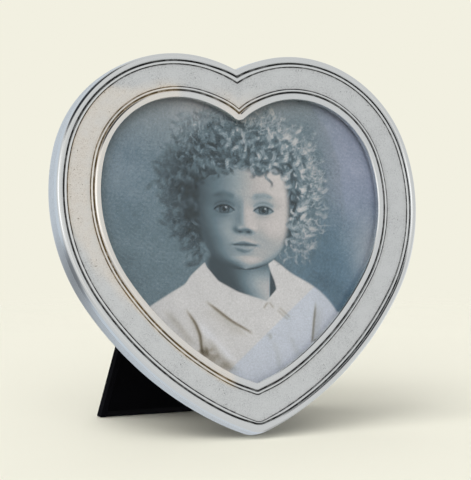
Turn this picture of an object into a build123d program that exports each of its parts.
"""Heart shaped photo frame: a cast pewter moulding that leans back on a hinged easel strut."""
import os
from math import acos, atan2, cos, degrees, radians, sin, sqrt

from build123d import *

os.makedirs("parts", exist_ok=True)

# Heart outline at the front edge of the outer wall (mm and degrees)
heart_width = 145.0
cleft_overlap = 7.94
side_radius = 71.3
flank_radius = 126.8
lobe_end_angle = 15.0
flank_start_angle = -33.0
tip_radius = 8.0

# Moulding section, from the outer wall in to the picture opening
casting_depth = 8.0
wall_draft = 0.9
arris_radius = 0.7
rim_width = 2.2
rim_height = 0.9
rim_fall = 0.65
groove_width = 0.85
groove_depth = 0.7
groove_slope = 0.15
outer_bead_width = 0.8
inner_bead_width = 0.65
bead_height = 0.35
bead_taper = 0.15
line_width = 0.35
line_depth = 0.3
band_width = 8.2
lip_width = 2.3
lip_height = 0.6
lip_shoulder = 1.1
lip_edge_depth = 0.6
lip_radius = 0.4
rebate_overlap = 3.2
rebate_depth = 2.0

# Flat pieces stacked in the rebate, front to back
plate_clearance = 0.3
plate_tip_radius = 1.5
glass_thickness = 2.0
print_thickness = 0.3
card_thickness = 1.2
board_thickness = 2.3
cover_thickness = 0.5

# Stance on the table
lean_angle = 9.7
strut_open_angle = 33.0

# Hinge of the strut
hinge_width = 36.0
knuckle_count = 5
knuckle_radius = 1.8
knuckle_gap = 0.3
knuckle_clearance = 0.3
pin_radius = 1.0
pin_head_radius = 1.5
pin_head_length = 0.7
pin_head_chamfer = 0.3
pin_clearance = 0.05
leaf_thickness = 0.8
leaf_corner_radius = 2.0
leaf_knuckle_overlap = 0.6
back_leaf_length = 13.0
back_leaf_margin = 2.1
strut_leaf_length = 20.0
stop_length = 5.0
stop_gap = 0.1

# Rivets of the hinge
rivet_radius = 0.9
rivet_head_radius = 1.7
rivet_head_height = 0.7
rivet_head_chamfer = 0.4
rivet_clearance = 0.05
back_rivet_spacing = 25.0
back_rivet_height = 8.2
strut_rivet_spacing = 24.0
strut_rivet_drop = 13.5

# Strut: a board wrapped in velour, with a lining on its inner face
strut_top_width = 52.0
strut_foot_width = 78.5
strut_thickness = 4.0
strut_top_gap = 2.6
strut_fold_gap = 0.4
strut_corner_radius = 6.0
wrap_thickness = 0.5
lining_thickness = 0.5
lining_inset = 2.3
lining_clearance = 0.1

# Turn buttons on the back of the casting
button_inset = 7.5
button_lobe_angle = 60.0
button_flank_angle = -38.0
button_reach = 6.0
button_radius = 3.2
button_thickness = 1.0
button_play = 0.1
button_clearance = 0.06
washer_thickness = 0.3
washer_radius = 2.7
screw_radius = 1.0
screw_length = 5.0
screw_head_radius = 2.2
screw_head_height = 1.2
screw_slot_width = 0.5
screw_slot_depth = 0.5
screw_clearance = 0.05

# Insets of the moulding's steps from the outer wall
rim_end = rim_width
outer_groove_end = rim_end + groove_width
outer_bead_end = outer_groove_end + outer_bead_width
outer_line_end = outer_bead_end + line_width
band_end = outer_line_end + band_width
inner_line_end = band_end + line_width
inner_bead_end = inner_line_end + inner_bead_width
inner_groove_end = inner_bead_end + groove_width
lip_end = inner_groove_end + lip_width
rebate_wall = lip_end - rebate_overlap
section_split = (outer_line_end + min(tip_radius, band_end)) / 2
plate_inset = rebate_wall + plate_clearance

# Depths of the stack behind the band's face
glass_front = rebate_depth
print_front = glass_front + glass_thickness
card_front = print_front + print_thickness
board_front = card_front + card_thickness
cover_front = board_front + board_thickness
cover_back = cover_front + cover_thickness

# Lobes of the heart: the opening's lobe arcs cross the middle by the cleft overlap
lobe_turn_cos = cos(radians(lobe_end_angle))
lobe_reach = heart_width / 2 - side_radius * (1 - lobe_turn_cos)
lobe_radius = (lobe_reach + lip_end + cleft_overlap) / (1 + lobe_turn_cos)
lobe_x = lobe_radius - lip_end - cleft_overlap


def step(angle, length):
    """Return the move of a given length along an angle in the band's plane."""
    return Vector(length * cos(radians(angle)), length * sin(radians(angle)))


# Arc centres of the right half of the heart, in the band's plane
lobe_centre = Vector(lobe_x, 0)
side_centre = lobe_centre + step(lobe_end_angle, lobe_radius - side_radius)
flank_centre = side_centre + step(flank_start_angle, side_radius - flank_radius)
tip_height = flank_centre.Y - sqrt((flank_radius - tip_radius) ** 2 - flank_centre.X**2)
tip_centre = Vector(0, tip_height)
flank_end_angle = degrees(atan2(tip_centre.Y - flank_centre.Y, -flank_centre.X))

# The band's plane, leaning back so that the rear edge of the tip meets the table at the origin
lean_sin = sin(radians(lean_angle))
lean_cos = cos(radians(lean_angle))
frame_up = Vector(0, lean_sin, lean_cos)
frame_front = Vector(0, -lean_cos, lean_sin)
tip_low = tip_height - tip_radius - wall_draft
frame_origin = frame_front * casting_depth - frame_up * tip_low
frame_plane = Plane(frame_origin, x_dir=(1, 0, 0), z_dir=frame_front)


def behind(depth):
    """Return the plane at a depth behind the band's face, looking the same way as the face."""
    return frame_plane.offset(-depth)


def radial(centre, angle):
    """Return the plane through an arc's axis: local X is radial, local Y is towards the front."""
    outward = frame_plane.x_dir * cos(radians(angle)) + frame_plane.y_dir * sin(radians(angle))
    return Plane(
        frame_plane.from_local_coords(centre),
        x_dir=outward,
        z_dir=outward.cross(frame_front),
    )


def heart(inset, corner_radius):
    """Draw the heart at an inset from the outline, with its tip rounded."""
    lobe = lobe_radius - inset
    side = side_radius - inset
    flank = flank_radius - inset
    cleft_angle = degrees(acos(-lobe_centre.X / lobe))
    point_angle = -degrees(acos(-flank_centre.X / flank))
    with BuildLine() as curve:
        CenterArc(lobe_centre, lobe, cleft_angle, lobe_end_angle - cleft_angle)
        CenterArc(side_centre, side, lobe_end_angle, flank_start_angle - lobe_end_angle)
        CenterArc(flank_centre, flank, flank_start_angle, point_angle - flank_start_angle)
        mirror(about=Plane.YZ)
    face = make_face(curve.edges())
    fillet(face.vertices().sort_by(Axis.Y)[0], corner_radius)


def outline(corners, radius):
    """Draw a closed section from (inset, height, corner radius) steps on an arc of a radius."""
    with BuildLine() as curve:
        FilletPolyline(
            [(radius - inset, height) for inset, height, _ in corners],
            radius=[rounding for _, _, rounding in corners],
            close=True,
        )
    make_face(curve.edges())


# Outer part of the moulding: wall, rim, groove, bead, line and the first half of the band
rim_corners = [
    (-wall_draft, -casting_depth, 0),
    (0, rim_height, arris_radius),
    (rim_end, rim_height - rim_fall, 0),
    (rim_end + groove_slope, -groove_depth, 0),
    (outer_groove_end - groove_slope, -groove_depth, 0),
    (outer_groove_end + bead_taper, bead_height, 0),
    (outer_bead_end - bead_taper, bead_height, 0),
    (outer_bead_end, -line_depth, 0),
    (outer_line_end, -line_depth, 0),
    (outer_line_end, 0, 0),
    (section_split, 0, 0),
    (section_split, -casting_depth, 0),
]

# Inner part of the moulding: the rest of the band, line, bead, groove, lip and rebate
lip_corners = [
    (section_split, -casting_depth, 0),
    (section_split, 0, 0),
    (band_end, 0, 0),
    (band_end, -line_depth, 0),
    (inner_line_end, -line_depth, 0),
    (inner_line_end + bead_taper, bead_height, 0),
    (inner_bead_end - bead_taper, bead_height, 0),
    (inner_bead_end + groove_slope, -groove_depth, 0),
    (inner_groove_end - groove_slope, -groove_depth, 0),
    (inner_groove_end, lip_height, lip_radius),
    (inner_groove_end + lip_shoulder, lip_height, lip_radius),
    (lip_end, -lip_edge_depth, lip_radius),
    (lip_end, -rebate_depth, 0),
    (rebate_wall, -rebate_depth, 0),
    (rebate_wall, -casting_depth, 0),
]

# Arcs that carry the sections: centre, radius, first angle, last angle.
# Arcs that reach the middle run past it, and the half is trimmed there before it is mirrored.
overrun = 12.0
cleft_end = degrees(acos(-lobe_centre.X / lobe_radius)) + overrun
cleft_inner_end = degrees(acos(-lobe_centre.X / (lobe_radius - lip_end))) + overrun
lobe_turn = (lobe_centre, lobe_radius, lobe_end_angle, max(cleft_end, cleft_inner_end))
side_turn = (side_centre, side_radius, flank_start_angle, lobe_end_angle)
flank_turn = (flank_centre, flank_radius, flank_end_angle, flank_start_angle)
flank_overrun = (flank_centre, flank_radius, flank_end_angle - overrun, flank_start_angle)
tip_turn = (tip_centre, tip_radius, -90 - overrun, flank_end_angle)
rim_turns = [lobe_turn, side_turn, flank_turn, tip_turn]
lip_turns = [lobe_turn, side_turn, flank_overrun]


def mirrored(pivot, angle):
    """Return a pivot and its outward angle on the other half of the heart."""
    return Vector(-pivot.X, pivot.Y), 180 - angle


# Turn button pivots in the band's plane, each with the angle that points out of the heart
lobe_pivot = lobe_centre + step(button_lobe_angle, lobe_radius - button_inset)
flank_pivot = flank_centre + step(button_flank_angle, flank_radius - button_inset)
button_pivots = {
    "turn_button_upper_right": (lobe_pivot, button_lobe_angle),
    "turn_button_lower_right": (flank_pivot, button_flank_angle),
    "turn_button_upper_left": mirrored(lobe_pivot, button_lobe_angle),
    "turn_button_lower_left": mirrored(flank_pivot, button_flank_angle),
}
pivot_points = [pivot for pivot, _ in button_pivots.values()]

# Cast moulding, carried round the half heart and mirrored
with BuildPart() as frame_casting:
    for corners, turns in ((rim_corners, rim_turns), (lip_corners, lip_turns)):
        for centre, radius, first, last in turns:
            with BuildSketch(radial(centre, first)):
                outline(corners, radius)
            turning_axis = Axis(frame_plane.from_local_coords(centre), frame_front)
            revolve(axis=turning_axis, revolution_arc=last - first)
    split(bisect_by=Plane.YZ, keep=Keep.TOP)
    mirror(about=Plane.YZ)
    with BuildSketch(behind(casting_depth)):
        with Locations(*pivot_points):
            Circle(screw_radius + screw_clearance)
    extrude(amount=screw_length + screw_clearance, mode=Mode.SUBTRACT)
frame_casting.part.label = "frame_casting"
export_step(frame_casting.part, "parts/frame_casting.step")

# Glass, picture and backing card, cut to the rebate
with BuildPart() as glass_pane:
    with BuildSketch(behind(glass_front)):
        heart(plate_inset, plate_tip_radius)
    extrude(amount=-glass_thickness)
glass_pane.part.label = "glass_pane"
export_step(glass_pane.part, "parts/glass_pane.step")

with BuildPart() as photo_print:
    with BuildSketch(behind(print_front)):
        heart(plate_inset, plate_tip_radius)
    extrude(amount=-print_thickness)
photo_print.part.label = "photo_print"
export_step(photo_print.part, "parts/photo_print.step")

with BuildPart() as backing_card:
    with BuildSketch(behind(card_front)):
        heart(plate_inset, plate_tip_radius)
    extrude(amount=-card_thickness)
backing_card.part.label = "backing_card"
export_step(backing_card.part, "parts/backing_card.step")

# Hinge axis behind the cover, and the two planes that share it
axis_depth = cover_back + knuckle_clearance + knuckle_radius
cover_cleft = sqrt((lobe_radius - plate_inset) ** 2 - lobe_x**2)
hinge_height = cover_cleft - back_leaf_margin - back_leaf_length
hinge_point = frame_origin + frame_up * hinge_height - frame_front * axis_depth
strut_lean = strut_open_angle - lean_angle
strut_back = Vector(0, cos(radians(strut_lean)), sin(radians(strut_lean)))
leaf_plane = Plane(hinge_point, x_dir=(-1, 0, 0), z_dir=-frame_front)
strut_plane = Plane(hinge_point, x_dir=(1, 0, 0), z_dir=strut_back)
pin_plane = Plane(hinge_point, x_dir=frame_up, z_dir=(1, 0, 0))
knuckle_pitch = hinge_width / knuckle_count
knuckle_length = knuckle_pitch - knuckle_gap
first_knuckle = -(knuckle_count - 1) / 2 * knuckle_pitch
knuckle_places = [first_knuckle + index * knuckle_pitch for index in range(knuckle_count)]
back_knuckles = knuckle_places[0::2]
strut_knuckles = knuckle_places[1::2]
knuckle_sweep = knuckle_radius + knuckle_clearance
notch_width = knuckle_length + 2 * knuckle_gap
back_rivets = [(side * back_rivet_spacing / 2, back_rivet_height) for side in (-1, 1)]
strut_rivets = [(side * strut_rivet_spacing / 2, strut_rivet_drop) for side in (-1, 0, 1)]


def rivet_holes(plane, places, depth):
    """Cut clearance holes for rivets from a plane, along its normal."""
    with BuildSketch(plane) as holes:
        with Locations(*places):
            Circle(rivet_radius + rivet_clearance)
    extrude(holes.sketch, amount=depth, mode=Mode.SUBTRACT)


def knuckles(places):
    """Add plain knuckles round the hinge axis."""
    for place in places:
        with BuildSketch(pin_plane.offset(place)) as ring:
            Circle(knuckle_radius)
        extrude(ring.sketch, amount=knuckle_length / 2, both=True)


def pin_bore():
    """Cut the bore for the hinge pin through all that stands on its axis."""
    with BuildSketch(pin_plane) as bore:
        Circle(pin_radius + pin_clearance)
    extrude(bore.sketch, amount=hinge_width, both=True, mode=Mode.SUBTRACT)


# Back board with its velour cover, which turns round the board's edge
leaf_low = -(knuckle_clearance + knuckle_radius)
board_depth = -leaf_low + cover_thickness + board_thickness
with BuildPart() as back_board:
    with BuildSketch(behind(board_front)):
        heart(plate_inset + cover_thickness, plate_tip_radius)
    extrude(amount=-board_thickness)
    rivet_holes(leaf_plane.offset(-board_depth), back_rivets, board_depth)
back_board.part.label = "back_board"
export_step(back_board.part, "parts/back_board.step")

with BuildPart() as back_cover:
    with BuildSketch(behind(board_front)):
        heart(plate_inset, plate_tip_radius + cover_thickness)
    extrude(amount=-(board_thickness + cover_thickness))
    with BuildSketch(behind(board_front)):
        heart(plate_inset + cover_thickness, plate_tip_radius)
    extrude(amount=-board_thickness, mode=Mode.SUBTRACT)
    rivet_holes(leaf_plane.offset(-board_depth), back_rivets, board_depth)
back_cover.part.label = "back_cover"
export_step(back_cover.part, "parts/back_cover.step")

# Fixed leaf of the hinge, riveted to the back board
with BuildPart() as hinge_back_leaf:
    with BuildSketch(leaf_plane.offset(leaf_low)) as back_plate:
        with Locations((0, -leaf_knuckle_overlap)):
            plate_length = back_leaf_length + leaf_knuckle_overlap
            Rectangle(hinge_width, plate_length, align=(Align.CENTER, Align.MIN))
        fillet(back_plate.vertices().group_by(Axis.Y)[-1], leaf_corner_radius)
        with Locations(*[(place, 0) for place in strut_knuckles]):
            Rectangle(notch_width, 2 * knuckle_sweep, mode=Mode.SUBTRACT)
    extrude(amount=leaf_thickness)
    knuckles(back_knuckles)
    pin_bore()
    rivet_holes(leaf_plane.offset(leaf_low), back_rivets, leaf_thickness)
hinge_back_leaf.part.label = "hinge_back_leaf"
export_step(hinge_back_leaf.part, "parts/hinge_back_leaf.step")

# Moving leaf, let into the strut under its lining, with tabs that stop on the fixed leaf
strut_inner = -(axis_depth - cover_back - strut_fold_gap)
strut_outer = strut_inner + strut_thickness
strut_leaf_inner = strut_inner + lining_thickness
stop_inner = leaf_low + leaf_thickness + stop_gap
with BuildPart() as hinge_strut_leaf:
    with BuildSketch(strut_plane.offset(strut_leaf_inner)) as strut_plate:
        Rectangle(hinge_width, strut_leaf_length, align=(Align.CENTER, Align.MIN))
        fillet(strut_plate.vertices().group_by(Axis.Y)[-1], leaf_corner_radius)
        with Locations(*[(place, 0) for place in back_knuckles]):
            Rectangle(notch_width, 2 * knuckle_sweep, mode=Mode.SUBTRACT)
    extrude(amount=leaf_thickness)
    with BuildSketch(leaf_plane.offset(stop_inner)):
        with Locations(*[(place, 0) for place in strut_knuckles]):
            Rectangle(knuckle_length, stop_length, align=(Align.CENTER, Align.MIN))
    extrude(amount=leaf_thickness)
    knuckles(strut_knuckles)
    pin_bore()
    rivet_holes(strut_plane.offset(strut_leaf_inner), strut_rivets, leaf_thickness)
hinge_strut_leaf.part.label = "hinge_strut_leaf"
export_step(hinge_strut_leaf.part, "parts/hinge_strut_leaf.step")

# Hinge pin with peened ends
with BuildPart() as hinge_pin:
    with BuildSketch(pin_plane):
        Circle(pin_radius)
    extrude(amount=hinge_width / 2 + pin_clearance, both=True)
    for side in (1, -1):
        with BuildSketch(pin_plane.offset(side * (hinge_width / 2 + pin_clearance))):
            Circle(pin_head_radius)
        extrude(amount=side * pin_head_length)
    ends = hinge_pin.edges().group_by(Axis.X)
    chamfer(ends[0] + ends[-1], pin_head_chamfer)
hinge_pin.part.label = "hinge_pin"
export_step(hinge_pin.part, "parts/hinge_pin.step")


def rivets(plane, places, shank):
    """Add rivets: bevelled heads above a plane, shanks below it."""
    with BuildSketch(plane) as shanks:
        with Locations(*places):
            Circle(rivet_radius)
    extrude(shanks.sketch, amount=-shank)
    with BuildSketch(plane) as heads:
        with Locations(*places):
            Circle(rivet_head_radius)
    domes = extrude(heads.sketch, amount=rivet_head_height)
    rims = domes.edges().group_by(Axis(plane.origin, plane.z_dir))[-1]
    chamfer(rims, rivet_head_chamfer)


with BuildPart() as hinge_back_rivets:
    back_shank = leaf_thickness + cover_thickness + board_thickness
    rivets(leaf_plane.offset(leaf_low + leaf_thickness), back_rivets, back_shank)
hinge_back_rivets.part.label = "hinge_back_rivets"
export_step(hinge_back_rivets.part, "parts/hinge_back_rivets.step")

with BuildPart() as hinge_strut_rivets:
    rivets(strut_plane.offset(strut_outer), strut_rivets, strut_outer - strut_leaf_inner)
hinge_strut_rivets.part.label = "hinge_strut_rivets"
export_step(hinge_strut_rivets.part, "parts/hinge_strut_rivets.step")

# Strut outline: tapered, with its foot cut level on the table
strut_length = hinge_point.Z / cos(radians(strut_lean))
strut_run = strut_length + strut_thickness
strut_slope = (strut_foot_width - strut_top_width) / 2 / strut_length


def strut_outline(inset):
    """Draw the strut's tapered outline at an inset from its edges, past the foot."""
    top = strut_top_gap + inset
    top_half = strut_top_width / 2 + strut_slope * top - inset
    end_half = strut_top_width / 2 + strut_slope * strut_run - inset
    with BuildLine() as curve:
        Polyline(
            (-top_half, top),
            (top_half, top),
            (end_half, strut_run),
            (-end_half, strut_run),
            close=True,
        )
    face = make_face(curve.edges())
    fillet(face.vertices().group_by(Axis.Y)[0], strut_corner_radius - inset)


with BuildPart() as strut_board:
    with BuildSketch(strut_plane.offset(strut_inner + lining_thickness)):
        strut_outline(wrap_thickness)
    extrude(amount=strut_thickness - lining_thickness - wrap_thickness)
    split(bisect_by=Plane.XY.offset(wrap_thickness), keep=Keep.TOP)
    add(hinge_strut_leaf.part, mode=Mode.SUBTRACT)
    rivet_holes(strut_plane.offset(strut_leaf_inner), strut_rivets, strut_thickness)
strut_board.part.label = "strut_board"
export_step(strut_board.part, "parts/strut_board.step")

# Velour wrap: the outer face, the edges and a margin turned in on the inner face
with BuildPart() as strut_wrap:
    with BuildSketch(strut_plane.offset(strut_inner)):
        strut_outline(0)
    extrude(amount=strut_thickness)
    split(bisect_by=Plane.XY, keep=Keep.TOP)
    add(strut_board.part, mode=Mode.SUBTRACT)
    add(hinge_strut_leaf.part, mode=Mode.SUBTRACT)
    with BuildSketch(strut_plane.offset(strut_inner)):
        strut_outline(lining_inset)
    extrude(amount=lining_thickness, mode=Mode.SUBTRACT)
    rivet_holes(strut_plane.offset(strut_leaf_inner), strut_rivets, strut_thickness)
strut_wrap.part.label = "strut_wrap"
export_step(strut_wrap.part, "parts/strut_wrap.step")

with BuildPart() as strut_lining:
    with BuildSketch(strut_plane.offset(strut_inner)):
        strut_outline(lining_inset + lining_clearance)
    extrude(amount=lining_thickness)
    split(bisect_by=Plane.XY.offset(lining_inset), keep=Keep.TOP)
strut_lining.part.label = "strut_lining"
export_step(strut_lining.part, "parts/strut_lining.step")

# Turn buttons, each on a washer and a screw
button_front = casting_depth + washer_thickness + button_play
for name, (pivot, angle) in button_pivots.items():
    with BuildPart() as turn_button:
        with BuildSketch(behind(button_front)):
            with Locations(pivot):
                Circle(button_radius)
            with Locations(Location(pivot - step(angle, button_reach / 2), angle)):
                SlotCenterToCenter(button_reach, 2 * button_radius)
            with Locations(pivot):
                Circle(screw_radius + button_clearance, mode=Mode.SUBTRACT)
        extrude(amount=-button_thickness)
    turn_button.part.label = name
    export_step(turn_button.part, f"parts/{name}.step")

with BuildPart() as turn_button_washers:
    with BuildSketch(behind(casting_depth)):
        with Locations(*pivot_points):
            Circle(washer_radius)
            Circle(screw_radius + screw_clearance, mode=Mode.SUBTRACT)
    extrude(amount=-washer_thickness)
turn_button_washers.part.label = "turn_button_washers"
export_step(turn_button_washers.part, "parts/turn_button_washers.step")

with BuildPart() as turn_button_screws:
    head_front = button_front + button_thickness + button_play
    with BuildSketch(behind(head_front)):
        with Locations(*pivot_points):
            Circle(screw_radius)
    extrude(amount=head_front - casting_depth + screw_length)
    with BuildSketch(behind(head_front)):
        with Locations(*pivot_points):
            Circle(screw_head_radius)
    extrude(amount=-screw_head_height)
    with BuildSketch(behind(head_front + screw_head_height)):
        with Locations(*pivot_points):
            Rectangle(2 * screw_head_radius, screw_slot_width)
    extrude(amount=screw_slot_depth, mode=Mode.SUBTRACT)
turn_button_screws.part.label = "turn_button_screws"
export_step(turn_button_screws.part, "parts/turn_button_screws.step")
